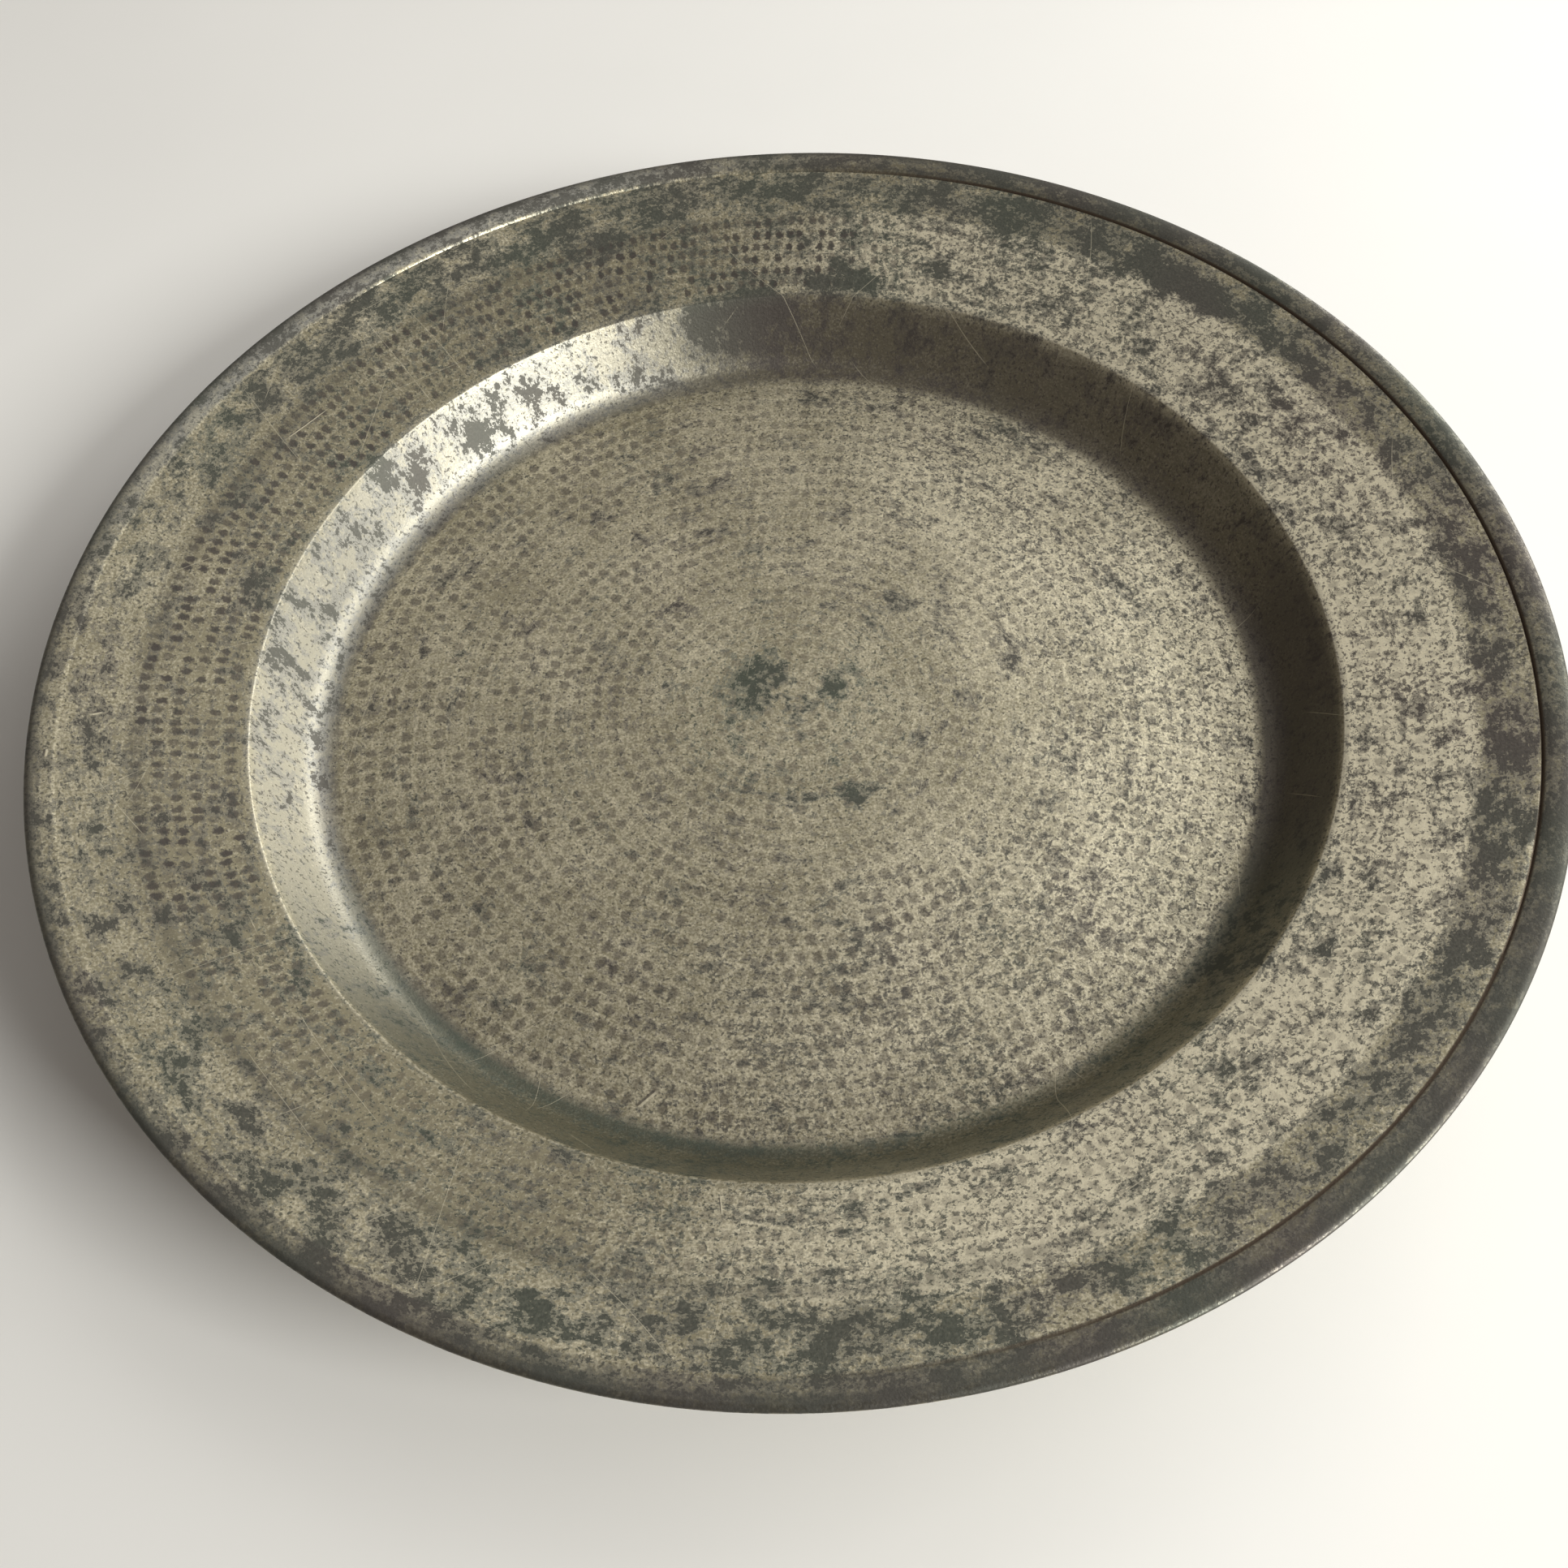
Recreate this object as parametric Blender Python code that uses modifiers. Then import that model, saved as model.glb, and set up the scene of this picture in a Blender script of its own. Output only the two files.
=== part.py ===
"""Paten plate: a broad-rimmed pewter charger, cast in one piece, turned and hammered.

Metres, +Z up. The plate stands on Z = 0 and its axis is Z. It is one turned solid: a closed
outline in the XZ plane, from the axis out over the top, round the edge and back underneath.
"""

import math

import bpy
from mathutils import Vector

# Sizes that can be set on their own
PLATE_DIAMETER = 0.420  # over the outermost edge
RIM_WIDTH = 0.0545  # level distance from the outermost edge to the lip of the well
RIM_SLOPE = math.radians(18.4)  # of the rim, which climbs from the lip to the edge
WELL_DEPTH = 0.0226  # from the lip down to the floor
WELL_WALL_SLOPE = math.radians(60)  # of the well's wall, from level
WALL = 0.0024  # thickness of the metal
LIP_RADIUS = 0.0010  # the crisp corner where the rim turns down into the well
FOOT_RADIUS = 0.0110  # the soft corner where the well's wall meets its floor
REED_WIDTH = 0.0090  # the raised band along the edge
REED_RISE = 0.0004  # how far the band stands above the rim
EDGE_ROUND = 0.0015  # how far in the edge's underside rounds off
GROOVE_WIDTH = 0.0010  # the line incised behind the band
GROOVE_DEPTH = 0.0005

STEPS_AROUND = 96
POINTS_PER_CORNER = 5
POINTS_ON_REED = 9
POINTS_UNDER_EDGE = 4
SMOOTH_BELOW = math.radians(35)

PEWTER_COLOUR = (0.30, 0.28, 0.23, 1.0)
PEWTER_ROUGHNESS = 0.45


def clear_scene():
    for obj in list(bpy.data.objects):
        bpy.data.objects.remove(obj)


def make_pewter():
    material = bpy.data.materials.new("pewter")
    material.use_nodes = True
    shader = material.node_tree.nodes["Principled BSDF"]
    shader.inputs["Base Color"].default_value = PEWTER_COLOUR
    shader.inputs["Roughness"].default_value = PEWTER_ROUGHNESS
    shader.inputs["Metallic"].default_value = 1.0
    return material


def rounded_corner(before, corner, after, radius):
    """Points of the arc that replaces a corner of the outline, in order."""
    inward = (before - corner).normalized()
    onward = (after - corner).normalized()
    half_angle = inward.angle(onward) / 2
    middle = (inward + onward).normalized()
    centre = corner + middle * (radius / math.sin(half_angle))
    start = corner + inward * (radius / math.tan(half_angle)) - centre
    end = corner + onward * (radius / math.tan(half_angle)) - centre
    sweep = math.atan2(start.cross(end), start.dot(end))
    points = []
    for i in range(POINTS_PER_CORNER):
        angle = sweep * i / (POINTS_PER_CORNER - 1)
        cos, sin = math.cos(angle), math.sin(angle)
        points.append(centre + Vector((start.x * cos - start.y * sin, start.x * sin + start.y * cos)))
    return points


def ellipse_arc(centre, along, up, start_angle, end_angle, count):
    """Points on an ellipse whose half-axes are the vectors along and up."""
    points = []
    for i in range(count):
        angle = start_angle + (end_angle - start_angle) * i / (count - 1)
        points.append(centre + along * math.cos(angle) + up * math.sin(angle))
    return points


def slope_axes(slope):
    """Unit vectors along a line that climbs outwards at this slope, and square to it on its upper side."""
    along = Vector((math.cos(slope), math.sin(slope)))
    return along, Vector((-along.y, along.x))


def plate_outline():
    """The plate's section: x is the distance from the axis and y is the height."""
    floor_height = WALL
    edge_x = PLATE_DIAMETER / 2
    lip = Vector((edge_x - RIM_WIDTH, floor_height + WELL_DEPTH))
    foot = Vector((lip.x - WELL_DEPTH / math.tan(WELL_WALL_SLOPE), floor_height))
    rim_way, rim_up = slope_axes(RIM_SLOPE)
    _, wall_up = slope_axes(WELL_WALL_SLOPE)

    # The corners of the underside, where the same three stretches run one wall thickness lower
    under_foot = foot + Vector((math.tan(WELL_WALL_SLOPE / 2), -1)) * WALL
    lip_half_turn = (WELL_WALL_SLOPE - RIM_SLOPE) / 2
    under_lip = lip - (rim_up + wall_up).normalized() * (WALL / math.cos(lip_half_turn))

    # The reed is an arch on the rim, which ends halfway through the metal at the outermost edge
    half_wall = rim_up * (WALL / 2)
    rim_length = (RIM_WIDTH + half_wall.x) / rim_way.x
    edge = lip + rim_way * rim_length - half_wall
    half_reed = rim_way * (REED_WIDTH / 2)
    arch_up = rim_up * (WALL / 2 + REED_RISE)
    arch_start = math.pi - math.asin((WALL / 2) / (WALL / 2 + REED_RISE))
    reed = ellipse_arc(edge - half_reed, half_reed, arch_up, arch_start, 0, POINTS_ON_REED)
    edge_round = rim_way * EDGE_ROUND
    under_edge = ellipse_arc(edge - edge_round, edge_round, -half_wall, 0, math.pi / 2, POINTS_UNDER_EDGE)
    groove_end = reed[0]
    groove_bottom = groove_end - rim_way * (GROOVE_WIDTH / 2) - rim_up * GROOVE_DEPTH
    groove_start = groove_end - rim_way * GROOVE_WIDTH

    axis_top = Vector((0, floor_height))
    axis_bottom = Vector((0, 0))
    top = [axis_top]
    top += rounded_corner(axis_top, foot, lip, FOOT_RADIUS)
    top += rounded_corner(foot, lip, groove_start, LIP_RADIUS)
    top += [groove_start, groove_bottom]
    underside = rounded_corner(under_edge[-1], under_lip, under_foot, LIP_RADIUS + WALL)
    underside += rounded_corner(under_lip, under_foot, axis_bottom, FOOT_RADIUS + WALL)
    underside.append(axis_bottom)
    return top + reed + under_edge[1:] + underside


def turned(name, outline, material, collection):
    """A solid of revolution about Z from a closed outline that begins and ends on the axis."""
    mesh = bpy.data.meshes.new(name)
    points = [(point.x, 0, point.y) for point in outline]
    edges = [(i, i + 1) for i in range(len(points) - 1)]
    mesh.from_pydata(points, edges, [])
    mesh.materials.append(material)
    obj = bpy.data.objects.new(name, mesh)
    collection.objects.link(obj)
    screw = obj.modifiers.new("turn", "SCREW")
    screw.axis = "Z"
    screw.steps = STEPS_AROUND
    screw.render_steps = STEPS_AROUND
    screw.use_merge_vertices = True
    screw.merge_threshold = 0.00001
    screw.use_smooth_shade = True
    return obj


def smooth_below_angle(obj, angle):
    """Fixes the turned mesh, so that its crisp corners stay sharp under smooth shading."""
    graph = bpy.context.evaluated_depsgraph_get()
    turned_mesh = bpy.data.meshes.new_from_object(obj.evaluated_get(graph))
    obj.modifiers.clear()
    obj.data = turned_mesh
    turned_mesh.name = obj.name
    turned_mesh.shade_smooth()
    turned_mesh.set_sharp_from_angle(angle=angle)


def main():
    clear_scene()
    collection = bpy.data.collections.new("paten_plate")
    bpy.context.scene.collection.children.link(collection)
    plate = turned("plate_body", plate_outline(), make_pewter(), collection)
    smooth_below_angle(plate, SMOOTH_BELOW)


main()
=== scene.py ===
"""Paten plate: the fine surface, the worn pewter, a pale table, soft window light and the camera.

Metres, +Z up, the plate standing on Z = 0 with its axis on Z. Angles run anticlockwise from +X.
"""

import math

import bpy
import numpy as np
from mathutils import Matrix, Vector


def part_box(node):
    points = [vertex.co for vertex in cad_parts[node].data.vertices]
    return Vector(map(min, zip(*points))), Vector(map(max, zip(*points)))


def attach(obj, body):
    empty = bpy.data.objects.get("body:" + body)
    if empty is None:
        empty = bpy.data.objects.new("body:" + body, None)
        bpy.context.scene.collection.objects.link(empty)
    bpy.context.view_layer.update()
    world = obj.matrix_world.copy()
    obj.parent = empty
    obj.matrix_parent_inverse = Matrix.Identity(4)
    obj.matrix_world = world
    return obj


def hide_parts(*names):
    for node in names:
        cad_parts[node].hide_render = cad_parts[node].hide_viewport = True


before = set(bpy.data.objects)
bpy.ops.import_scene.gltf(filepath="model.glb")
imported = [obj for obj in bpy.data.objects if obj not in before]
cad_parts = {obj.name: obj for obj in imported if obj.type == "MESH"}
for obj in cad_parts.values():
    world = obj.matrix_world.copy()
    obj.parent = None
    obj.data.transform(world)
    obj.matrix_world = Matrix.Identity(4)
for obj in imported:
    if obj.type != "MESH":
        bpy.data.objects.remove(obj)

# The plate's section, as the CAD model has it
EDGE_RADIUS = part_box("plate_body")[1].x
RIM_WIDTH = 0.0545
RIM_SLOPE = math.radians(18.4)
WELL_DEPTH = 0.0226
WELL_WALL_SLOPE = math.radians(60)
WALL = 0.0024
LIP_ROUND = 0.0010
FOOT_ROUND = 0.0110
REED_WIDTH = 0.0090
REED_RISE = 0.0004
EDGE_ROUND = 0.0015
GROOVE_WIDTH = 0.0010
GROOVE_DEPTH = 0.0005

LIP_RADIUS = EDGE_RADIUS - RIM_WIDTH
FOOT_RADIUS = LIP_RADIUS - WELL_DEPTH / math.tan(WELL_WALL_SLOPE)
FLOOR_RADIUS = FOOT_RADIUS - FOOT_ROUND * math.tan(WELL_WALL_SLOPE / 2)
REED_HALF_WIDTH = REED_WIDTH / 2 * math.cos(RIM_SLOPE)
REED_START = math.asin(WALL / 2 / (WALL / 2 + REED_RISE))  # where the reed's arch leaves the rim
REED_INNER_RADIUS = (
    EDGE_RADIUS - REED_HALF_WIDTH * (1 + math.cos(REED_START)) - WALL / 2 * math.sin(RIM_SLOPE)
)
GROOVE_RADIUS = (
    REED_INNER_RADIUS - GROOVE_WIDTH / 2 * math.cos(RIM_SLOPE) + GROOVE_DEPTH * math.sin(RIM_SLOPE)
)

# Hammer marks: rings all over the floor, and closer ones on the inner part of the rim
FLOOR_RING_PITCH = 0.0052
RIM_RINGS = 6
RIM_RING_PITCH = 0.00455
RIM_MARKS_START = 0.1582
RIM_MARKS_END = RIM_MARKS_START + RIM_RINGS * RIM_RING_PITCH
FIRST_RIM_RING = 38  # a ring's number sets how many marks go round it
MARK_PITCH = 0.0046
TURN_PER_RING = 0.38  # each ring of marks starts this share of a mark further round
MARK_DEPTH = 0.00010

# Unevenness of the face, and the reed and groove worn away on one side, by angle in degrees
UNEVENNESS = 0.00012
UNEVENNESS_LENGTH = 0.05
WORN_SHARE = 0.9
WORN_MIDDLE = 230
WORN_HALF_WIDTH = 85

# Where the rim's looks change
OUTER_RIM_START = 0.188
INNER_RIM_END = 0.187
DARK_RING_START = 0.1810
DARK_RING_END = 0.1855

# Mesh
ROW_SPACING = FLOOR_RING_PITCH / 3
FINE_SPACING = 0.0007
LIP_SPACING = 0.0003
BACK_SPACING = 0.0060
MOST_COLUMNS = 768
FEWEST_COLUMNS = 48
HALVING_RADIUS = EDGE_RADIUS * 0.56  # inside this, and inside each half of it, the columns are halved
FINE_BACK_ROWS = 5  # rows of the back, from the edge in, that keep the face's columns
SHARP_ABOVE = math.radians(40)
FACE_MAP_CENTRE = (0.405, 0.405)
FACE_MAP_RADIUS = 0.400
BACK_MAP_CENTRE = (0.830, 0.830)
BACK_MAP_RADIUS = 0.160

# The underside, which is evenly dull
BACK_BLOTCHES = 0.10
BACK_SPECKS = 0.35
BACK_BARENESS = 0.20

# Pewter
METALLIC = 0.85
METAL_ROUGHNESS = 0.40
TARNISH_ROUGHNESS = 0.55
BUMP_DISTANCE = 0.00006

# Room
TABLE_SIZE = 6
TABLE_DROP = 0.0002  # keeps the table just clear of the plate's flat base
TABLE_ROUGHNESS = 0.7
LIGHT_DISTANCE = 2.2
DAYLIGHT = (1.0, 1.0, 0.96)
ROOM_COLOUR = (1.0, 0.92, 0.84, 1)
ROOM_STRENGTH = 0.2

# Camera, with the lens and its sensor in millimetres
FOCAL_LENGTH = 36
SENSOR_WIDTH = 36
VIEW_ELEVATION = math.radians(51.1)
VIEW_DISTANCE = 0.4412
VIEW_ROLL = math.radians(-2.98)
AIM_BELOW_CENTRE = math.radians(5.98)
AIM_LEFT_OF_CENTRE = math.radians(0.16)


# --- The plate's section ------------------------------------------------------------------------


def line(start, end, spacing):
    """Points from start to just before end."""
    count = max(1, round((end - start).length / spacing))
    return [start.lerp(end, i / count) for i in range(count)]


def rounded(before, corner, after, radius, spacing):
    """Points of the arc that replaces a corner."""
    inward = (before - corner).normalized()
    onward = (after - corner).normalized()
    half_angle = inward.angle(onward) / 2
    centre = corner + (inward + onward).normalized() * (radius / math.sin(half_angle))
    start = corner + inward * (radius / math.tan(half_angle)) - centre
    end = corner + onward * (radius / math.tan(half_angle)) - centre
    sweep = math.atan2(start.cross(end), start.dot(end))
    count = max(4, round(abs(sweep) * radius / spacing))
    return [centre + Matrix.Rotation(sweep * i / count, 2) @ start for i in range(count + 1)]


def ellipse_arc(centre, along, up, start_angle, end_angle, spacing):
    """Points on an ellipse whose half-axes are the vectors along and up."""
    count = max(4, round(abs(end_angle - start_angle) * along.length / spacing))
    angles = [start_angle + (end_angle - start_angle) * i / count for i in range(count + 1)]
    return [centre + along * math.cos(angle) + up * math.sin(angle) for angle in angles]


def slope_axes(slope):
    """Unit vectors along a line that climbs outwards at this slope, and square to it."""
    along = Vector((math.cos(slope), math.sin(slope)))
    return along, Vector((-along.y, along.x))


def section():
    """The plate's section as (radius, height) points: out over the face, then back underneath.

    Also returns how many of the points are on the face.
    """
    lip = Vector((LIP_RADIUS, WALL + WELL_DEPTH))
    foot = Vector((FOOT_RADIUS, WALL))
    rim_way, rim_up = slope_axes(RIM_SLOPE)
    _, wall_up = slope_axes(WELL_WALL_SLOPE)
    under_foot = foot + Vector((math.tan(WELL_WALL_SLOPE / 2), -1)) * WALL
    lip_half_turn = (WELL_WALL_SLOPE - RIM_SLOPE) / 2
    under_lip = lip - (rim_up + wall_up).normalized() * (WALL / math.cos(lip_half_turn))

    half_wall = rim_up * (WALL / 2)
    edge = lip + rim_way * ((RIM_WIDTH + half_wall.x) / rim_way.x) - half_wall
    half_reed = rim_way * (REED_WIDTH / 2)
    arch_up = rim_up * (WALL / 2 + REED_RISE)
    reed = ellipse_arc(edge - half_reed, half_reed, arch_up, math.pi - REED_START, 0, FINE_SPACING)
    edge_round = rim_way * EDGE_ROUND
    under_edge = ellipse_arc(edge - edge_round, edge_round, -half_wall, 0, math.pi / 2, FINE_SPACING)
    groove_bottom = reed[0] - rim_way * (GROOVE_WIDTH / 2) - rim_up * GROOVE_DEPTH
    groove_start = reed[0] - rim_way * GROOVE_WIDTH

    axis_top = Vector((0, WALL))
    axis_bottom = Vector((0, 0))
    foot_arc = rounded(axis_top, foot, lip, FOOT_ROUND, ROW_SPACING)
    lip_arc = rounded(foot, lip, groove_start, LIP_ROUND, LIP_SPACING)
    under_lip_arc = rounded(under_foot, under_lip, under_edge[-1], LIP_ROUND + WALL, FINE_SPACING)
    under_foot_arc = rounded(axis_bottom, under_foot, under_lip, FOOT_ROUND + WALL, FINE_SPACING * 3)

    face = line(axis_top, foot_arc[0], ROW_SPACING) + foot_arc
    face += line(foot_arc[-1], lip_arc[0], ROW_SPACING * 2)[1:] + lip_arc
    face += line(lip_arc[-1], groove_start, ROW_SPACING)[1:]
    face += [groove_start, groove_bottom] + reed
    back = under_edge[1:] + line(under_edge[-1], under_lip_arc[-1], BACK_SPACING)[1:]
    back += under_lip_arc[::-1] + line(under_lip_arc[0], under_foot_arc[-1], BACK_SPACING)[1:]
    back += under_foot_arc[::-1] + line(under_foot_arc[0], axis_bottom, BACK_SPACING)[1:] + [axis_bottom]
    return np.array(face + back), len(face)


# --- Hammer marks, tarnish, stains, and painted light and shade, laid out over the plate --------


def step(value, low, high):
    """0 below low, 1 above high, smooth between."""
    share = np.clip((value - low) / (high - low), 0, 1)
    return share * share * (3 - 2 * share)


def band(radius, low, high, soft):
    """1 between low and high, 0 beyond, with edges that run soft to either side."""
    return step(radius, low - soft, low + soft) * (1 - step(radius, high - soft, high + soft))


def facing(angle, middle, half_width, soft=30):
    """1 within half_width degrees of the middle, 0 beyond another soft degrees."""
    away = np.abs((np.degrees(angle) - middle + 180) % 360 - 180)
    return 1 - step(away, half_width, half_width + soft)


def slow_waves(radius, angle, wavelength, seed):
    """Gentle unevenness: a few plane waves of about one wavelength, in seeded directions, -1 to 1."""
    rng = np.random.default_rng(seed)
    x = radius * np.cos(angle)
    y = radius * np.sin(angle)
    total = np.zeros_like(x)
    waves = 6
    for _ in range(waves):
        heading = rng.uniform(0, 2 * math.pi)
        length = wavelength * rng.uniform(0.7, 1.5)
        phase = rng.uniform(0, 2 * math.pi)
        total += np.sin(2 * math.pi * (x * math.cos(heading) + y * math.sin(heading)) / length + phase)
    return total / waves


def spot(radius, angle, place_angle, place_radius, around, across):
    """A soft-edged oval patch: 1 in its middle, 0 at its edge. around and across are its half sizes."""
    turn = (np.degrees(angle) - place_angle + 180) % 360 - 180
    along = np.radians(turn) * place_radius / around
    out = (radius - place_radius) / across
    return np.clip(1 - along**2 - out**2, 0, 1)


def ring_place(radius):
    """Counts rings of hammer marks outwards; a ring's middle is at a half."""
    on_rim = FIRST_RIM_RING + (radius - RIM_MARKS_START) / RIM_RING_PITCH
    return np.where(radius > LIP_RADIUS, on_rim, radius / FLOOR_RING_PITCH)


def hammered(radius):
    """1 where the face was hammered."""
    floor = 1 - step(radius, FLOOR_RADIUS, FLOOR_RADIUS + 0.004)
    return np.maximum(floor, band(radius, RIM_MARKS_START, RIM_MARKS_END, 0.0004))


def reed_height(radius):
    """How far the reed stands above the rim."""
    along = np.clip((radius - EDGE_RADIUS) / REED_HALF_WIDTH + 1, -1, 1)
    return np.maximum(0, (WALL / 2 + REED_RISE) * np.sqrt(1 - along**2) - WALL / 2)


def relief(radius, angle):
    """How far the face stands out of its turned shape."""
    place = ring_place(radius)
    ring = np.floor(place)
    count = np.maximum(1, np.round(2 * math.pi * (ring + 0.5) * FLOOR_RING_PITCH / MARK_PITCH))
    across = 0.5 - 0.5 * np.cos(2 * math.pi * place)
    around = 0.5 - 0.5 * np.cos(angle * count + 2 * math.pi * ring * TURN_PER_RING)
    marks = -MARK_DEPTH * across * around * hammered(radius)
    unevenness = UNEVENNESS * slow_waves(radius, angle, UNEVENNESS_LENGTH, 1)
    unevenness *= 1 - step(radius, REED_INNER_RADIUS - 0.004, REED_INNER_RADIUS)
    groove_line = band(radius, GROOVE_RADIUS - 0.0002, GROOVE_RADIUS + 0.0002, 0.0001)
    worn_side = facing(angle, WORN_MIDDLE, WORN_HALF_WIDTH)
    worn_reed = WORN_SHARE * (GROOVE_DEPTH * groove_line - reed_height(radius)) * worn_side
    return marks + unevenness + worn_reed


# Places that are darker than what is round them: angle in degrees, radius, half size around, half
# size across, strength
DARK_PLACES = [
    # the floor
    (141, 0.0130, 0.016, 0.012, 1.25),
    (25, 0.0134, 0.008, 0.006, 1.2),
    (23, 0.0975, 0.005, 0.004, 1.0),
    (20, 0.1107, 0.010, 0.005, 0.8),
    (297, 0.0387, 0.008, 0.009, 0.7),
    (13, 0.0688, 0.012, 0.009, 0.7),
    (282, 0.0840, 0.012, 0.008, 0.75),
    (206, 0.0867, 0.003, 0.003, 1.0),
    (79, 0.1280, 0.020, 0.006, 0.65),
    (52, 0.1330, 0.016, 0.007, 0.65),
    (343, 0.1370, 0.010, 0.005, 0.8),
    # the well's wall
    (94, 0.1525, 0.024, 0.008, 1.4),
    (73, 0.1520, 0.007, 0.006, 1.1),
    (55, 0.1530, 0.010, 0.004, 0.7),
    (130, 0.1490, 0.010, 0.007, 0.7),
    (145, 0.1510, 0.012, 0.008, 0.7),
    (318, 0.1480, 0.060, 0.012, 0.55),
    # the rim
    (81, 0.1620, 0.014, 0.010, 0.75),
    (110, 0.1840, 0.020, 0.008, 0.55),
    (168, 0.1640, 0.020, 0.012, 0.50),
    (207, 0.1695, 0.020, 0.010, 0.45),
    (321, 0.1668, 0.004, 0.004, 0.9),
    (0, 0.1945, 0.024, 0.006, 0.35),
    (42, 0.1920, 0.060, 0.006, 0.4),
]


def on_floor(radius):
    return 1 - step(radius, FLOOR_RADIUS - 0.001, FLOOR_RADIUS + 0.005)


def on_wall(radius):
    return band(radius, FLOOR_RADIUS + 0.002, LIP_RADIUS, 0.002)


def on_rim(radius):
    return band(radius, LIP_RADIUS, REED_INNER_RADIUS, 0.001)


def on_outer_rim(radius):
    return band(radius, OUTER_RIM_START, REED_INNER_RADIUS - 0.001, 0.005)


def on_reed(radius):
    return step(radius, REED_INNER_RADIUS, REED_INNER_RADIUS + 0.001)


def blotches(radius, angle):
    """How much of the surface has big dark blotches: 0 hardly any, 1 nearly all."""
    outer = 0.24 + 0.30 * facing(angle, 95, 40) + 0.20 * facing(angle, 10, 40)
    outer += 0.24 * facing(angle, 285, 45)
    level = on_outer_rim(radius) * outer
    level += (on_rim(radius) - on_outer_rim(radius)) * (0.02 + 0.16 * facing(angle, 70, 40))
    level += on_floor(radius) * -0.12 + on_wall(radius) * (-0.05 + 0.28 * facing(angle, 140, 40))
    level += on_reed(radius) * (outer - 0.05)
    level += 0.12 * slow_waves(radius, angle, 0.06, 2)
    for place_angle, place_radius, around, across, strength in DARK_PLACES:
        level += 0.75 * strength * spot(radius, angle, place_angle, place_radius, around, across)
    return level


def specks(radius, angle):
    """How thickly the surface is speckled: 0 hardly, 1 about a third of it."""
    to_right = facing(angle, 345, 75, 40)
    level = on_floor(radius) * (-0.10 + 0.60 * to_right * step(radius, 0.05, 0.11))
    level += on_rim(radius) * (0.05 + 0.35 * to_right + 0.25 * facing(angle, 100, 40))
    level += on_wall(radius) * 0.10 + on_reed(radius) * 0.30
    return level + 0.20 * slow_waves(radius, angle, 0.04, 6)


def bareness_and_painted_light(radius, angle):
    """How bright the metal is under its tarnish, 0 to 1: partly how clean it is, partly painted light,
    brighter on the right of the floor and of the inner rim, and painted shade, darker on the left of the
    well's wall where its highlight is dimmed.
    """
    to_right = facing(angle, 355, 60, 50)
    to_left = facing(angle, 190, 90)
    inner_rim = band(radius, LIP_RADIUS, INNER_RIM_END, 0.003)
    outer = step(radius, INNER_RIM_END - 0.005, INNER_RIM_END + 0.005)
    # the floor is brighter to the right: partly cleaner metal, partly painted light
    floor = 0.28 + step(radius, 0.03, 0.10) * (0.40 * to_right + 0.02)
    # painted shade on the left of the well's wall, which dims its highlight there
    wall = 0.15 - 0.10 * facing(angle, 130, 40) - 0.15 * facing(angle, 200, 50)
    # painted light: the inner rim is made much brighter on the right, where it gets too little reflected
    # light
    level = on_floor(radius) * floor + inner_rim * (0.02 + 1.45 * to_right)
    level += outer * (0.14 + 0.12 * to_left)
    level += on_wall(radius) * wall
    return level + 0.06 * slow_waves(radius, angle, 0.04, 4)


def film_and_painted_shade(radius, angle):
    """How far the metal is darkened: an even dark film, and painted shade where the well's wall, the
    reed and the rolled edge turn from the light, and where highlights on the foot and the reed's inner
    flank are dimmed.
    """
    # painted shade on the well's wall on the right and the near side, which turn away from the window,
    # over an even dark film
    wall = 0.62 * facing(angle, 35, 50) + 0.50 * facing(angle, 290, 60)
    # painted shade: dims the highlight along the foot of the wall on the left
    foot = band(radius, FLOOR_RADIUS + 0.001, FOOT_RADIUS, 0.002) * 0.45 * facing(angle, 185, 70)
    dark_ring = band(radius, DARK_RING_START, DARK_RING_END, 0.0015) * facing(angle, 190, 90)
    # the reed's even film, darker on the right and near right as painted shade that dims its highlights
    # there
    reed = 0.15 + 0.25 * facing(angle, 0, 70) + 0.30 * facing(angle, 285, 40)
    # painted shade on the reed's inner flank on the right, which hides its highlight
    reed_flank_painted_shade = band(radius, GROOVE_RADIUS, REED_INNER_RADIUS + 0.0015, 0.0003)
    reed_flank_painted_shade *= 0.6 * facing(angle, 0, 80, 20)
    # painted shade where the outer edge rolls over and turns from the light, deeper on the left and near
    # left, over the film
    edge = step(radius, EDGE_RADIUS - 0.0050, EDGE_RADIUS - 0.0008)
    edge *= 0.55 + 0.20 * facing(angle, 210, 80)
    level = on_wall(radius) * wall + foot + 0.30 * dark_ring + on_reed(radius) * reed + edge
    return np.clip(np.maximum(level, reed_flank_painted_shade), 0, 0.85)


def mark_stain(radius, angle):
    """How dark the hammer marks are."""
    on_ring = band(radius, RIM_MARKS_START, RIM_MARKS_END, 0.0004)
    rim = on_ring * (0.42 + 0.48 * facing(angle, 145, 55, 35))
    floor = on_floor(radius) * (0.40 + 0.15 * step(radius, 0.02, 0.1))
    floor *= 0.85 + 0.25 * facing(angle, 220, 80, 50)
    patchy = 0.95 + 0.30 * slow_waves(radius, angle, 0.05, 9)
    return np.clip(np.maximum(rim, floor) * patchy, 0, 0.95)


def greenness(radius, angle):
    """How far the tarnish turns from brown-grey to green-grey."""
    wall = on_wall(radius) * (0.8 * facing(angle, 270, 50) - 0.4 * facing(angle, 20, 60))
    rim = on_rim(radius) * (0.3 * facing(angle, 100, 50) + 0.3 * facing(angle, 270, 50))
    rim -= on_rim(radius) * 0.2 * facing(angle, 350, 50)
    middle = 0.6 * (1 - step(radius, 0.02, 0.05))
    return np.clip(0.35 + 0.4 * slow_waves(radius, angle, 0.05, 3) + wall + rim + middle, 0, 1)


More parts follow.
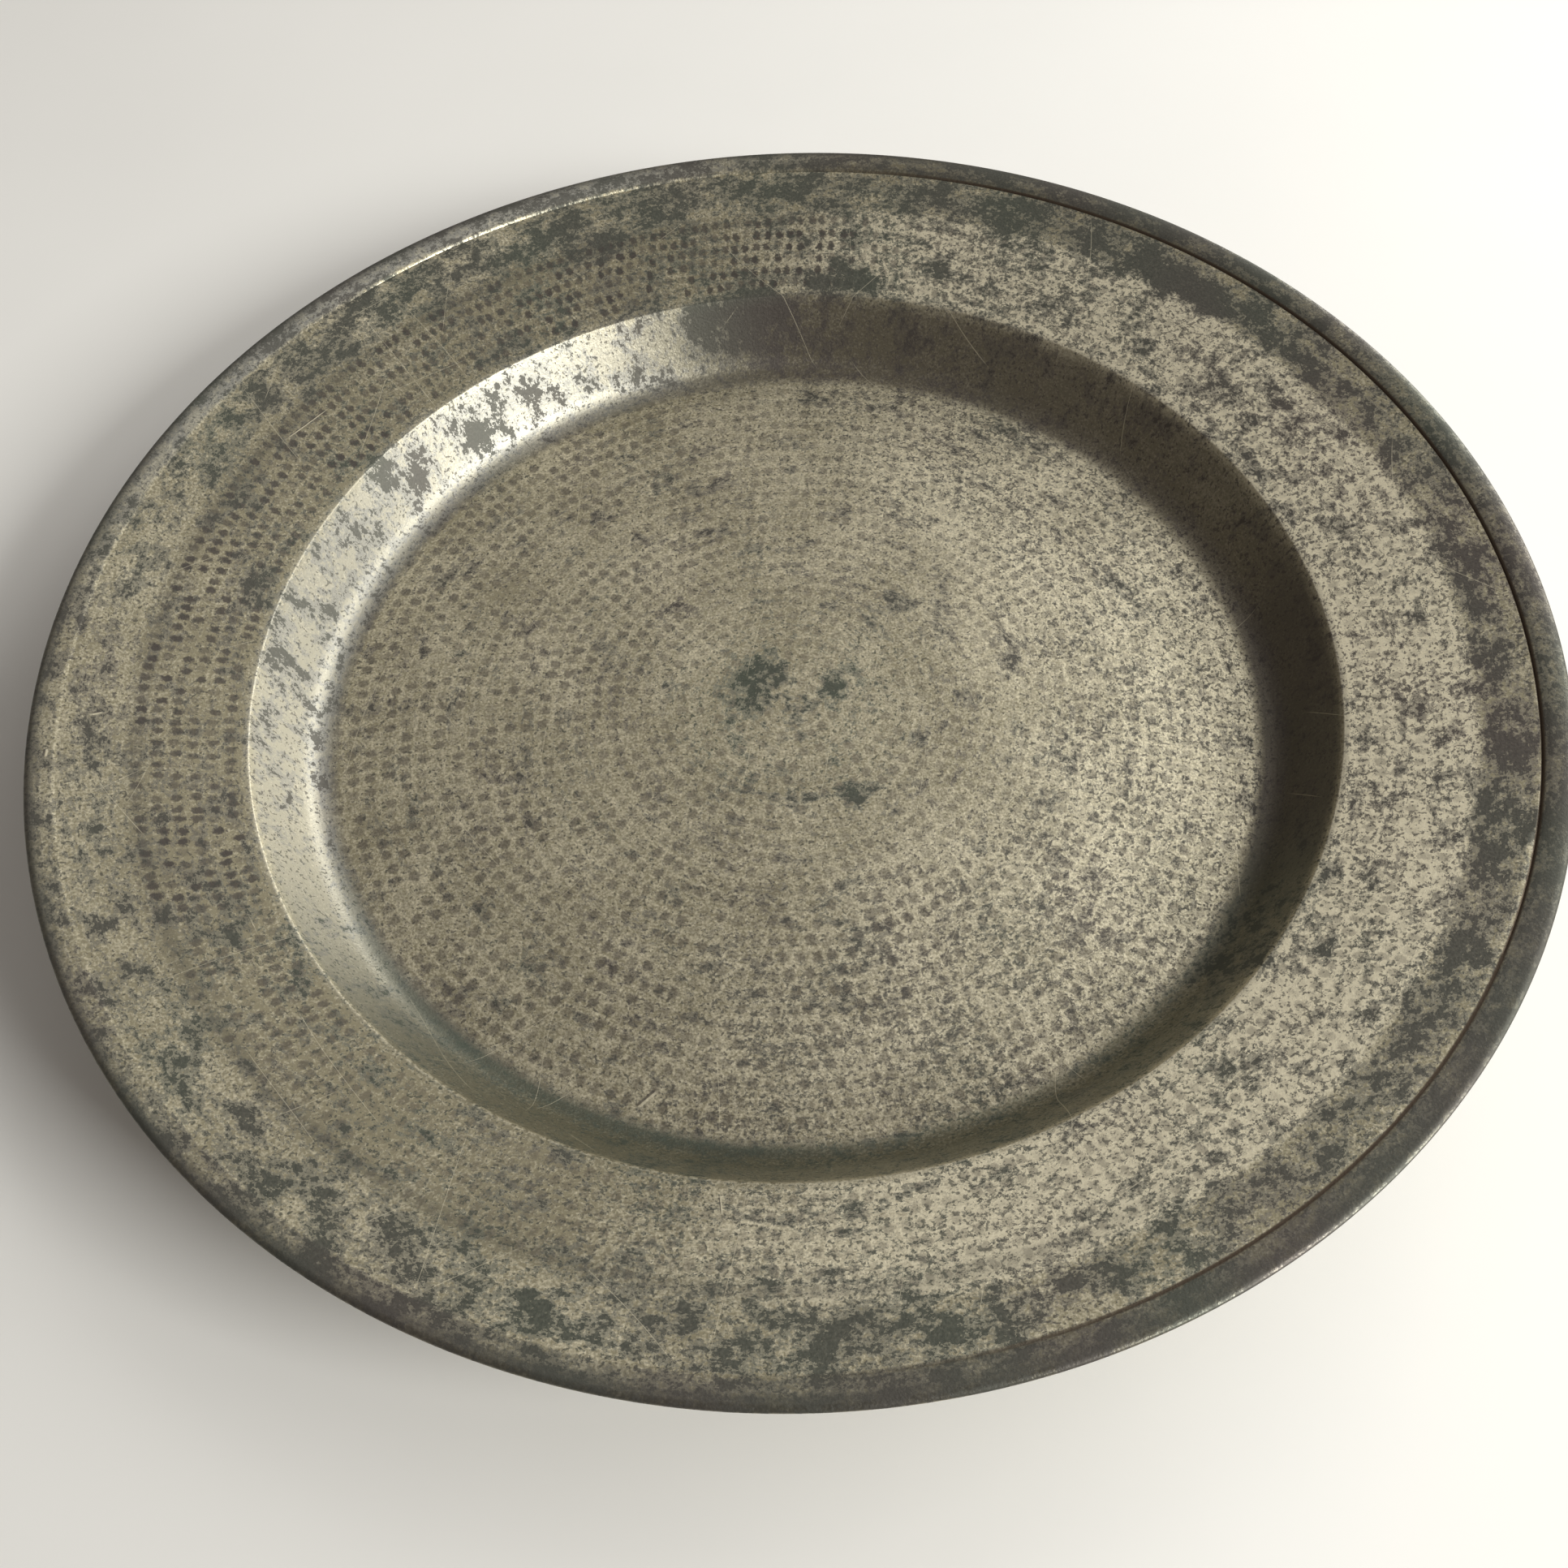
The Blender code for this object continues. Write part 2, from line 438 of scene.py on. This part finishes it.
def silvering(radius, angle):
    """How far the metal and its film turn from yellowish to silver grey."""
    return on_wall(radius) * facing(angle, 165, 45, 35) + on_reed(radius) * facing(angle, 130, 20)


# --- Mesh ---------------------------------------------------------------------------------------


def columns_at(radius):
    """How many points go round at this radius: halved each time the ring gets short."""
    columns = MOST_COLUMNS
    while columns > FEWEST_COLUMNS and radius < HALVING_RADIUS * columns / MOST_COLUMNS:
        columns //= 2
    return columns


def ring_faces(first, first_count, second, second_count):
    """Faces between two rings of points, where one may have twice the points of the other."""
    if first_count == second_count:
        nexts = [(i + 1) % first_count for i in range(first_count)]
        return [(first + i, second + i, second + j, first + j) for i, j in enumerate(nexts)]
    first_is_coarse = first_count < second_count
    coarse, fine = (first, second) if first_is_coarse else (second, first)
    count = min(first_count, second_count)
    fan = []
    for i in range(count):
        a, b = coarse + i, coarse + (i + 1) % count
        c, d, e = (fine + (2 * i + k) % (2 * count) for k in range(3))
        fan += [(a, c, d), (a, d, b), (b, d, e)]
    return fan if first_is_coarse else [face[::-1] for face in fan]


def axis_faces(axis, ring, count, outwards):
    """A fan between the point on the axis and the ring round it."""
    pairs = [(ring + i, ring + (i + 1) % count) for i in range(count)]
    return [(axis, a, b) if outwards else (axis, b, a) for a, b in pairs]


def joining_faces(start, count, next_start, next_count):
    """Faces from one ring to the next, where either may be the single point on the axis."""
    if count == 1:
        return axis_faces(start, next_start, next_count, True)
    if next_count == 1:
        return axis_faces(next_start, start, count, False)
    return ring_faces(start, count, next_start, next_count)


def section_normals(outline):
    """Unit vectors square to the section, pointing out of the metal."""
    slopes = np.gradient(outline, axis=0)
    normals = np.stack([-slopes[:, 1], slopes[:, 0]], 1)
    return normals / np.linalg.norm(normals, axis=1, keepdims=True)


def ring_points(radius, height, normal, angle, out):
    """A ring of points, each moved out of the section by its own amount but never past the edge."""
    moved = np.minimum(radius + out * normal[0], EDGE_RADIUS)
    return np.stack([moved * np.cos(angle), moved * np.sin(angle), height + out * normal[1]], 1)


def plate_mesh():
    """Turns the section ring by ring, with the relief on the face and a plain back."""
    outline, face_rows = section()
    normals = section_normals(outline)
    steps_along = np.linalg.norm(np.diff(outline, axis=0), axis=1)
    travelled = np.concatenate([[0], np.cumsum(steps_along)])

    start, count = 0, 1
    points = [np.array([[0, 0, WALL]])]
    radii, angles, journey = [np.zeros(1)], [np.zeros(1)], [np.zeros(1)]
    faces = []
    face_face_count = 0
    last = len(outline) - 1
    for row in range(1, last + 1):
        radius, height = outline[row]
        back = row >= face_rows
        next_count = 1 if row == last else columns_at(radius)
        if face_rows + FINE_BACK_ROWS <= row < last:
            next_count = max(FEWEST_COLUMNS, next_count // 2)
        angle = np.arange(next_count) * 2 * math.pi / next_count
        spread = np.full(next_count, radius)
        out = np.zeros(next_count) if back else relief(spread, angle)
        points.append(ring_points(spread, height, normals[row], angle, out))
        radii.append(spread)
        angles.append(angle)
        journey.append(np.full(next_count, travelled[row]))
        next_start = start + count
        faces += joining_faces(start, count, next_start, next_count)
        if row == face_rows:
            face_face_count = len(faces)
        start, count = next_start, next_count

    mesh = bpy.data.meshes.new("plate")
    mesh.from_pydata(np.concatenate(points).tolist(), [], faces)
    radii, angles, journey = (np.concatenate(values) for values in (radii, angles, journey))
    turn_at = travelled[face_rows]
    lay_bake_map(mesh, angles, journey, turn_at, travelled[-1], face_face_count)
    add_masks(mesh, radii, angles, (journey < turn_at).astype(float))
    mesh.shade_smooth()
    mesh.set_sharp_from_angle(angle=SHARP_ABOVE)
    return mesh


def add_masks(mesh, radii, angles, on_face):
    """Writes the masks to the points, where the pewter reads them."""
    masks = {
        "blotches": np.where(on_face, blotches(radii, angles), BACK_BLOTCHES),
        "specks": np.where(on_face, specks(radii, angles), BACK_SPECKS),
        "mark_stain": mark_stain(radii, angles) * on_face,
        "bareness_and_painted_light": np.where(on_face, bareness_and_painted_light(radii, angles), BACK_BARENESS),
        "greenness": greenness(radii, angles),
        "silvering": silvering(radii, angles) * on_face,
        "film_and_painted_shade": film_and_painted_shade(radii, angles) * on_face,
        "back": 1 - on_face,
    }
    for name, values in masks.items():
        mesh.attributes.new(name, "FLOAT", "POINT").data.foreach_set("value", values)


def lay_bake_map(mesh, angles, journey, turn_at, whole, face_face_count):
    """Lays the face out as one disc and the back as a smaller one beside it."""
    corner_points = np.empty(len(mesh.loops), int)
    mesh.loops.foreach_get("vertex_index", corner_points)
    totals = np.empty(len(mesh.polygons), int)
    mesh.polygons.foreach_get("loop_total", totals)
    on_face = np.repeat(np.arange(len(mesh.polygons)) < face_face_count, totals)
    angle, way = angles[corner_points], journey[corner_points]
    way = np.where(on_face, way / turn_at, (whole - way) / (whole - turn_at))
    size = np.where(on_face, FACE_MAP_RADIUS, BACK_MAP_RADIUS) * way
    turned = np.where(on_face, angle, -angle)
    centre_x = np.where(on_face, FACE_MAP_CENTRE[0], BACK_MAP_CENTRE[0])
    centre_y = np.where(on_face, FACE_MAP_CENTRE[1], BACK_MAP_CENTRE[1])
    places = np.stack([centre_x + size * np.cos(turned), centre_y + size * np.sin(turned)], 1)
    mesh.uv_layers.new(name="OFBake").data.foreach_set("uv", places.ravel())


# --- Pewter -------------------------------------------------------------------------------------


class Shader:
    """Short calls for a material's nodes."""

    def __init__(self, name):
        self.material = bpy.data.materials.new(name)
        self.material.use_nodes = True
        self.tree = self.material.node_tree
        self.principled = self.tree.nodes["Principled BSDF"]
        self.place = self.node("ShaderNodeTexCoord").outputs["Object"]

    def node(self, kind, settings=None, inputs=None):
        made = self.tree.nodes.new(kind)
        for name, value in (settings or {}).items():
            setattr(made, name, value)
        for key, value in (inputs or {}).items():
            self.feed(made.inputs[key], value)
        return made

    def feed(self, socket, value):
        if isinstance(value, bpy.types.NodeSocket):
            self.tree.links.new(value, socket)
        else:
            socket.default_value = value

    def math(self, operation, *values):
        return self.node("ShaderNodeMath", {"operation": operation}, dict(enumerate(values))).outputs[0]

    def vary(self, base, pattern, amount):
        """base, plus amount times how far the pattern is above its middle of a half."""
        return self.math("MULTIPLY_ADD", self.math("SUBTRACT", pattern, 0.5), amount, base)

    def length(self, x, y):
        """The length of the vector (x, y)."""
        squares = self.math("ADD", self.math("MULTIPLY", x, x), self.math("MULTIPLY", y, y))
        return self.math("SQRT", squares)

    def combine(self, x, y, z):
        return self.node("ShaderNodeCombineXYZ", {}, {0: x, 1: y, 2: z}).outputs[0]

    def noise(self, per_metre, detail=3.0, roughness=0.6, at=None, seed=0):
        """Noise about 0.5, with so many features a metre. Each seed gives another pattern."""
        where = self.place if at is None else at
        shift = (seed * 17.3, seed * 5.9, seed * 11.7)
        stretch = {0: where, 1: (per_metre, per_metre, per_metre), 2: shift}
        scaled = self.node("ShaderNodeVectorMath", {"operation": "MULTIPLY_ADD"}, stretch)
        inputs = {"Vector": scaled.outputs[0], "Scale": 1.0, "Detail": detail, "Roughness": roughness}
        return self.node("ShaderNodeTexNoise", {}, inputs).outputs["Fac"]

    def step(self, value, low, high, start=0.0, end=1.0):
        """start below low, end above high, smooth between."""
        inputs = {"Value": value, "From Min": low, "From Max": high, "To Min": start, "To Max": end}
        made = self.node("ShaderNodeMapRange", {"interpolation_type": "SMOOTHSTEP"}, inputs)
        return made.outputs["Result"]

    def tint(self, share, first, second):
        made = self.node("ShaderNodeMix", {"data_type": "RGBA"}, {"Factor": share})
        self.feed(made.inputs[6], first)
        self.feed(made.inputs[7], second)
        return made.outputs[2]

    def mix(self, share, first, second):
        return self.node("ShaderNodeMix", {}, {0: share, 2: first, 3: second}).outputs[0]

    def attribute(self, name):
        return self.node("ShaderNodeAttribute", {"attribute_name": name}).outputs["Fac"]


class PewterShader(Shader):
    """Adds the places, masks and patterns that the pewter's layers share."""

    def __init__(self):
        super().__init__("pewter_worn")
        x_y = self.node("ShaderNodeSeparateXYZ", {}, {0: self.place})
        self.x = x_y.outputs[0]
        self.y = x_y.outputs[1]
        self.radius = self.length(self.x, self.y)
        self.with_radius = self.combine(self.x, self.y, self.radius)  # instead of the height

        self.back = self.attribute("back")
        self.silvering = self.attribute("silvering")
        self.specks = self.attribute("specks")
        greenness_here = self.attribute("greenness")
        film_colour = self.tint(greenness_here, FILM_BROWN, FILM_GREEN)
        self.film_colour = self.tint(self.silvering, film_colour, FILM_GREY)
        # the dark colour is both the tarnish and the painted shade
        self.dark_colour = self.tint(greenness_here, DARK_BROWN, DARK_GREEN)

        self.mottling = self.noise(430, 4, 0.85, at=self.with_radius, seed=8)
        self.grain = self.noise(1300, 1, 0.6, seed=6)
        self.fine = self.noise(850, 1, 0.5, seed=1)
        long_way_round = self.combine(
            self.math("MULTIPLY", self.x, 60.0),
            self.math("MULTIPLY", self.y, 60.0),
            self.math("MULTIPLY", self.radius, 900.0),
        )
        self.streaks = self.noise(1, 2, 0.6, at=long_way_round, seed=5)


BRIGHT_METAL = (0.87, 0.80, 0.61, 1)
DULL_METAL = (0.36, 0.325, 0.225, 1)
SILVER = (0.60, 0.60, 0.57, 1)
FILM_GREY = (0.33, 0.33, 0.315, 1)
FILM_BROWN = (0.25, 0.225, 0.195, 1)
FILM_GREEN = (0.22, 0.235, 0.195, 1)
DARK_BROWN = (0.102, 0.090, 0.083, 1)
DARK_GREEN = (0.090, 0.103, 0.083, 1)
GROOVE_BROWN = (0.10, 0.075, 0.055, 1)
TABLE_DARK = (0.80, 0.79, 0.77, 1)
TABLE_LIGHT = (0.86, 0.85, 0.83, 1)


def mark_spots(s):
    """The stained middle of each hammer mark, ragged and of its own size, place and strength, 0 to 1."""
    floor_place = s.math("DIVIDE", s.radius, FLOOR_RING_PITCH)
    past_start = s.math("SUBTRACT", s.radius, RIM_MARKS_START)
    rim_place = s.math("MULTIPLY_ADD", past_start, 1 / RIM_RING_PITCH, float(FIRST_RIM_RING))
    place = s.mix(s.math("GREATER_THAN", s.radius, LIP_RADIUS), floor_place, rim_place)
    ring = s.math("FLOOR", place)
    middle = s.math("ADD", ring, 0.5)
    count = s.math("ROUND", s.math("MULTIPLY", middle, 2 * math.pi * FLOOR_RING_PITCH / MARK_PITCH))
    turns = s.math("DIVIDE", s.math("ARCTAN2", s.y, s.x), 2 * math.pi)
    marks_round = s.math("MULTIPLY_ADD", turns, count, s.math("MULTIPLY", ring, TURN_PER_RING))
    cell = s.math("FLOORED_MODULO", s.math("FLOOR", marks_round), count)
    mark = s.combine(ring, cell, 0.0)
    own = s.node("ShaderNodeTexWhiteNoise", {"noise_dimensions": "2D"}, {"Vector": mark})
    shifts = s.node("ShaderNodeSeparateColor", {}, {0: own.outputs["Color"]})
    across = s.vary(s.math("SUBTRACT", place, middle), shifts.outputs[0], 0.30)
    around = s.math("SUBTRACT", s.math("FRACT", marks_round), 0.5)
    around = s.vary(around, shifts.outputs[1], 0.30)
    reach = s.vary(s.length(across, around), s.noise(700, 3, 0.75, seed=4), 0.8)
    strength = s.step(own.outputs["Value"], -0.2, 0.8, 0.2, 1.0)
    return s.math("MULTIPLY", s.step(reach, 0.22, 0.44, 1.0, 0.0), strength)


def hairlines(s, heading, seed, cell=(0.050, 0.016), width=0.00012):
    """Sparse thin scratches, all near one heading in degrees: at most one in each cell. 0 to 1."""
    turned = s.node("ShaderNodeVectorRotate", {"rotation_type": "Z_AXIS"}, {"Vector": s.place})
    turned.inputs["Angle"].default_value = math.radians(-heading)
    x_y = s.node("ShaderNodeSeparateXYZ", {}, {0: turned.outputs[0]})
    across = s.vary(x_y.outputs[1], s.noise(12, 0, 0.5, seed=seed), 0.02)
    column = s.math("DIVIDE", x_y.outputs[0], cell[0])
    row = s.math("DIVIDE", across, cell[1])
    corner = s.combine(s.math("FLOOR", column), s.math("FLOOR", row), 0.0)
    inputs = {"Vector": corner, "W": float(seed)}
    own = s.node("ShaderNodeTexWhiteNoise", {"noise_dimensions": "4D"}, inputs)
    chances = s.node("ShaderNodeSeparateColor", {}, {0: own.outputs["Color"]})
    middle = s.math("MULTIPLY_ADD", chances.outputs[0], 0.8, 0.1)
    off_line = s.math("ABSOLUTE", s.math("SUBTRACT", s.math("FRACT", row), middle))
    off_middle = s.math("ABSOLUTE", s.math("SUBTRACT", s.math("FRACT", column), 0.5))
    half_length = s.math("MULTIPLY", chances.outputs[1], 0.48)
    within = s.step(s.math("SUBTRACT", half_length, off_middle), 0.0, 0.10)
    thin = s.step(off_line, 0.3 * width / cell[1], width / cell[1], 1.0, 0.0)
    there = s.math("GREATER_THAN", chances.outputs[2], 0.72)
    return s.math("MULTIPLY", s.math("MULTIPLY", thin, within), there)


SCRATCH_HEADINGS = {35: 11, 128: 12, 78: 13}  # in degrees, each with its seed

# Nicks: angle in degrees and radius of the middle, half length, half width, heading in degrees
NICKS = [
    (251, 0.1310, 0.0040, 0.0005, 40),
    (189, 0.2045, 0.0016, 0.0004, 95),
    (185, 0.1935, 0.0016, 0.0003, 25),
    (147, 0.1790, 0.0100, 0.0002, 50),
    (262, 0.1620, 0.0030, 0.0002, 95),
]


def nick(s, place_angle, place_radius, half_length, half_width, heading):
    """A short gouge with fresh metal on one side and a shadow on the other: two masks."""
    middle_x = place_radius * math.cos(math.radians(place_angle))
    middle_y = place_radius * math.sin(math.radians(place_angle))
    cos, sin = math.cos(math.radians(heading)), math.sin(math.radians(heading))
    off_x = s.math("SUBTRACT", s.x, middle_x)
    off_y = s.math("SUBTRACT", s.y, middle_y)
    along = s.math("MULTIPLY_ADD", off_x, cos, s.math("MULTIPLY", off_y, sin))
    across = s.math("MULTIPLY_ADD", off_x, -sin, s.math("MULTIPLY", off_y, cos))
    end = s.step(s.math("ABSOLUTE", along), half_length * 0.5, half_length, 1.0, 0.0)
    fresh = s.step(s.math("ABSOLUTE", across), half_width * 0.4, half_width, 1.0, 0.0)
    beside = s.math("ABSOLUTE", s.math("SUBTRACT", across, half_width * 1.5))
    shadow = s.step(beside, half_width * 0.4, half_width, 1.0, 0.0)
    return s.math("MULTIPLY", end, fresh), s.math("MULTIPLY", end, shadow)


def bare_metal(s):
    """The metal: cloudy, streaked round the plate and finely grained, silvery where its mask says."""
    clouds = s.noise(35, 2, 0.6, seed=3)
    streakiness = s.math("MULTIPLY_ADD", s.back, 1.2, 0.6)
    # the tone starts from the bareness mask, which carries painted light and shade as well as cleaner
    # metal
    tone = s.vary(s.attribute("bareness_and_painted_light"), s.streaks, streakiness)
    tone = s.vary(tone, clouds, 0.8)
    tone = s.vary(tone, s.mottling, 0.8)
    tone = s.vary(tone, s.grain, 1.8)
    colour = s.tint(tone, DULL_METAL, BRIGHT_METAL)
    return s.tint(s.math("MULTIPLY", s.silvering, 0.4), colour, SILVER)


def patch_levels(s):
    """Where big and small patches lie: the film and the tarnish start at levels of their own."""
    patches = s.noise(100, 4, 0.75, at=s.with_radius, seed=2)
    big = s.math("MULTIPLY_ADD", s.attribute("blotches"), 0.25, patches)
    big = s.vary(big, s.streaks, 0.12)
    big = s.vary(big, s.mottling, 0.60)
    small = s.math("MULTIPLY_ADD", s.specks, 0.07, s.mottling)
    return big, small


def filmed(s, colour, big, small):
    """Thin film: ragged patches all over, greyer on the well's wall, and an even dark film that also
    carries painted shade.
    """
    colour = s.tint(s.step(small, 0.54, 0.57, 0.0, 0.30), colour, s.film_colour)
    colour = s.tint(s.step(big, 0.54, 0.56, 0.0, 0.65), colour, s.film_colour)
    # the even dark film, with painted shade on the well's wall, the reed, the foot and the rolled edge
    return s.tint(s.attribute("film_and_painted_shade"), colour, s.dark_colour)


def tarnish(s, big, small):
    """Dark tarnish: specks, and small and big blotches with ragged edges, 0 to 1."""
    speck = s.step(s.math("MULTIPLY_ADD", s.specks, 0.10, s.fine), 0.63, 0.68, 0.0, 0.8)
    small_blotch = s.step(small, 0.61, 0.625, 0.0, 0.9)
    big_blotch = s.step(big, 0.635, 0.65)
    return s.math("MAXIMUM", s.math("MAXIMUM", speck, small_blotch), big_blotch)


def tarnished(s, colour, dark):
    """The tarnish is a little thinner on the grain's high spots and on silvery metal."""
    thickness = s.math("MULTIPLY_ADD", s.grain, -0.35, 1.08)
    thickness = s.math("MULTIPLY_ADD", s.silvering, -0.15, thickness)
    return s.tint(s.math("MULTIPLY", dark, thickness), colour, s.dark_colour)


def bare_lip(s, colour):
    """The lip of the well is worn bare in places, mostly on the near side."""
    off_lip = s.math("ABSOLUTE", s.math("SUBTRACT", s.radius, LIP_RADIUS))
    on_lip = s.step(off_lip, 0.0002, 0.0008, 1.0, 0.0)
    lip_line = s.math("MULTIPLY", on_lip, s.step(s.fine, 0.42, 0.52, 0.0, 0.45))
    near_side = s.step(s.y, -0.08, 0.04, 1.0, 0.0)
    return s.tint(s.math("MULTIPLY", lip_line, near_side), colour, BRIGHT_METAL)


def dark_groove(s, colour):
    """The groove inside the reed is dark, except on the left, where it is worn away."""
    off_groove = s.math("ABSOLUTE", s.math("SUBTRACT", s.radius, GROOVE_RADIUS))
    in_groove = s.step(off_groove, 0.0002, 0.0007, 1.0, 0.0)
    in_groove = s.math("MULTIPLY", in_groove, s.step(s.x, -0.02, 0.09))
    on_face = s.math("SUBTRACT", 1.0, s.back)
    return s.tint(s.math("MULTIPLY", in_groove, on_face), colour, GROOVE_BROWN)


def scratched(s, colour):
    """Fine scratches inside the reed, but not on the silvery part of the well's wall."""
    scratch = 0.0
    for heading, seed in SCRATCH_HEADINGS.items():
        scratch = s.math("MAXIMUM", scratch, hairlines(s, heading, seed))
    inside_reed = s.step(s.radius, REED_INNER_RADIUS - 0.006, REED_INNER_RADIUS, 1.0, 0.0)
    off_wall = s.math("SUBTRACT", inside_reed, s.silvering)
    scratch = s.math("MULTIPLY", scratch, s.math("MAXIMUM", off_wall, 0.0))
    return s.tint(s.math("MULTIPLY", scratch, 0.45), colour, BRIGHT_METAL)


def nicked(s, colour):
    """A few short gouges, each at its own place."""
    for place in NICKS:
        fresh, shadow = nick(s, *place)
        colour = s.tint(s.math("MULTIPLY", shadow, 0.7), colour, DARK_BROWN)
        colour = s.tint(s.math("MULTIPLY", fresh, 0.8), colour, BRIGHT_METAL)
    return colour


def pewter():
    s = PewterShader()
    big, small = patch_levels(s)
    dark = tarnish(s, big, small)
    stains = s.math("MULTIPLY", mark_spots(s), s.attribute("mark_stain"))

    colour = filmed(s, bare_metal(s), big, small)
    colour = s.tint(stains, colour, DARK_BROWN)
    colour = tarnished(s, colour, dark)
    colour = bare_lip(s, colour)
    colour = dark_groove(s, colour)
    colour = scratched(s, colour)
    colour = nicked(s, colour)

    roughness = s.mix(dark, METAL_ROUGHNESS, TARNISH_ROUGHNESS)
    roughness = s.math("MULTIPLY_ADD", s.silvering, 0.12, roughness)
    roughness = s.vary(roughness, s.grain, 0.2)
    height = s.math("MULTIPLY_ADD", s.mottling, 1.5, s.grain)
    height = s.math("MULTIPLY_ADD", s.streaks, 0.6, height)
    bump = s.node("ShaderNodeBump", {}, {"Height": height, "Distance": BUMP_DISTANCE})
    s.feed(s.principled.inputs["Base Color"], colour)
    s.feed(s.principled.inputs["Roughness"], roughness)
    s.feed(s.principled.inputs["Metallic"], METALLIC)
    s.feed(s.principled.inputs["Normal"], bump.outputs["Normal"])
    return s.material


# --- Room ---------------------------------------------------------------------------------------


def table():
    bpy.ops.mesh.primitive_plane_add(size=TABLE_SIZE, location=(0, 0, -TABLE_DROP))
    top = bpy.context.object
    top.name = "table"
    s = Shader("table_paint")
    colour = s.tint(s.noise(7, 3, 0.5), TABLE_DARK, TABLE_LIGHT)
    s.feed(s.principled.inputs["Base Color"], colour)
    s.feed(s.principled.inputs["Roughness"], TABLE_ROUGHNESS)
    top.data.materials.append(s.material)


# Lights: azimuth and elevation in degrees as seen from the plate, width, height, watts
LIGHTS = {
    "window": (-33, 31, 0.9, 0.7, 49),
    "right_wall": (5, 40, 1.2, 0.9, 11),
    "far_window": (45, 18, 1.2, 0.7, 20),
    "far_wall": (45, 45, 1.2, 0.9, 5),
    "ceiling": (105, 50, 1.4, 0.9, 2.0),
}


def area_light(name, azimuth, elevation, width, height, watts):
    """A soft rectangular light that faces the plate."""
    light = bpy.data.lights.new(name, "AREA")
    light.shape = "RECTANGLE"
    light.size = width
    light.size_y = height
    light.energy = watts
    light.color = DAYLIGHT
    lamp = bpy.data.objects.new(name, light)
    az = math.radians(azimuth)
    el = math.radians(elevation)
    way = Vector((math.cos(az) * math.cos(el), math.sin(az) * math.cos(el), math.sin(el)))
    lamp.location = way * LIGHT_DISTANCE
    lamp.rotation_euler = way.to_track_quat("Z", "Y").to_euler()
    bpy.context.scene.collection.objects.link(lamp)


def room():
    for name, settings in LIGHTS.items():
        area_light(name, *settings)
    world = bpy.data.worlds.new("room")
    world.use_nodes = True
    air = world.node_tree.nodes["Background"]
    air.inputs["Color"].default_value = ROOM_COLOUR
    air.inputs["Strength"].default_value = ROOM_STRENGTH
    bpy.context.scene.world = world
    bpy.context.scene.view_settings.view_transform = "Standard"


def camera():
    data = bpy.data.cameras.new("camera")
    data.lens = FOCAL_LENGTH
    data.sensor_width = SENSOR_WIDTH
    eye = bpy.data.objects.new("camera", data)
    bpy.context.scene.collection.objects.link(eye)
    rim_height = WALL + WELL_DEPTH + RIM_WIDTH * math.tan(RIM_SLOPE) - WALL / 2
    target = Vector((0, 0, rim_height))
    back = Vector((0, -math.cos(VIEW_ELEVATION), math.sin(VIEW_ELEVATION)))
    eye.matrix_world = (
        Matrix.Translation(target + back * VIEW_DISTANCE)
        @ Matrix.Rotation(math.pi / 2 - VIEW_ELEVATION, 4, "X")
        @ Matrix.Rotation(VIEW_ROLL, 4, "Z")
        @ Matrix.Rotation(AIM_LEFT_OF_CENTRE, 4, "Y")
        @ Matrix.Rotation(-AIM_BELOW_CENTRE, 4, "X")
    )
    bpy.context.scene.camera = eye


def make_plate():
    mesh = plate_mesh()
    plate = bpy.data.objects.new("plate", mesh)
    bpy.context.scene.collection.objects.link(plate)
    mesh.materials.append(pewter())
    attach(plate, "root")
    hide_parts("plate_body")


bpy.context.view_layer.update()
make_plate()
table()
room()
camera()
